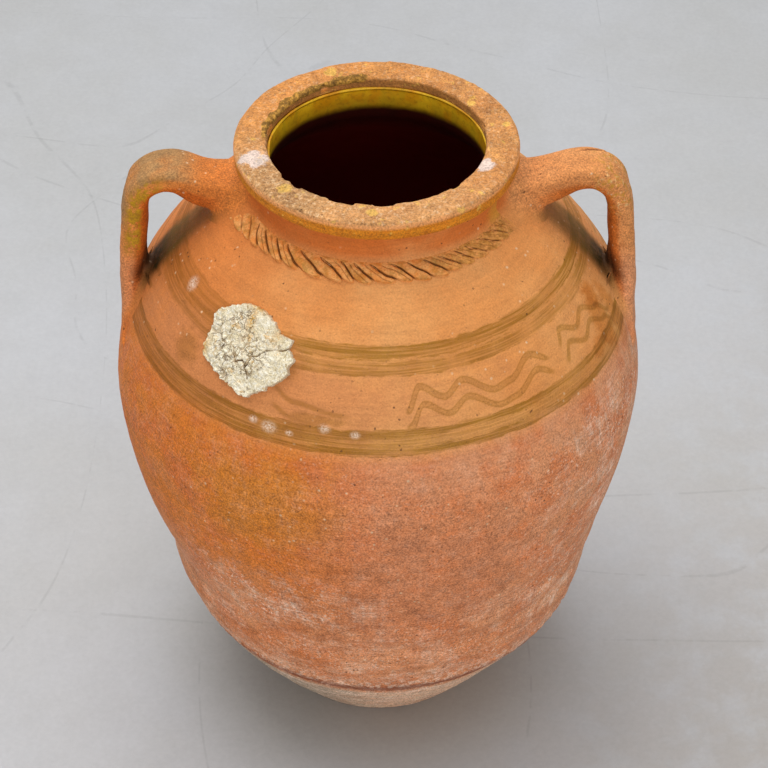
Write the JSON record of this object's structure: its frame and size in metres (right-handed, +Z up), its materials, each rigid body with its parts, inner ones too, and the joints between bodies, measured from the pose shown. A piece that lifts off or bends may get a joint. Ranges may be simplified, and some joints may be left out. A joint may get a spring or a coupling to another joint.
{
  "type": "two-handled storage jar",
  "caption": "Large ovoid terracotta storage jar with a narrow flat base, short neck under a thick flat rim, strap handles from neck to shoulder, a twisted cord band and a mortar repair.",
  "frame": {"origin": "centre of the flat underside, on the axis of the jar, at the plane it stands on", "axes": "+Z up along the axis of the jar, X through both handles, -Y towards the side with the mortar repair and the wavy lines"},
  "size_m": [0.509, 0.509, 0.648],
  "materials": {
    "terracotta_foot": "matt terracotta with a pale lime bloom",
    "terracotta_lower": "matt red terracotta with lime specks",
    "terracotta_belly": "matt orange-red terracotta",
    "terracotta_shoulder": "matt light orange terracotta with olive-brown slip bands",
    "terracotta_neck": "matt terracotta",
    "terracotta_rim": "matt weathered terracotta with lichen",
    "terracotta_handle": "matt terracotta with ochre lichen",
    "terracotta_cord": "matt terracotta, worn",
    "inner_glaze": "yellow-green lead glaze at the neck, dark brown inside",
    "mortar": "pale crumbly lime mortar"
  },
  "bodies": {
    "root": {"base_section": "terracotta_foot", "lower_wall": "terracotta_lower", "belly_wall": "terracotta_belly", "shoulder_wall": "terracotta_shoulder", "neck_collar": "terracotta_neck", "rim_ring": "terracotta_rim", "interior_glaze": "inner_glaze", "left_upper_lute": "terracotta_handle", "left_handle": "terracotta_handle", "left_lower_lute": "terracotta_handle", "right_upper_lute": "terracotta_handle", "right_handle": "terracotta_handle", "right_lower_lute": "terracotta_handle", "front_cord": "terracotta_cord", "rear_cord": "terracotta_cord", "mortar_patch": "mortar"}
  },
  "joints": []
}
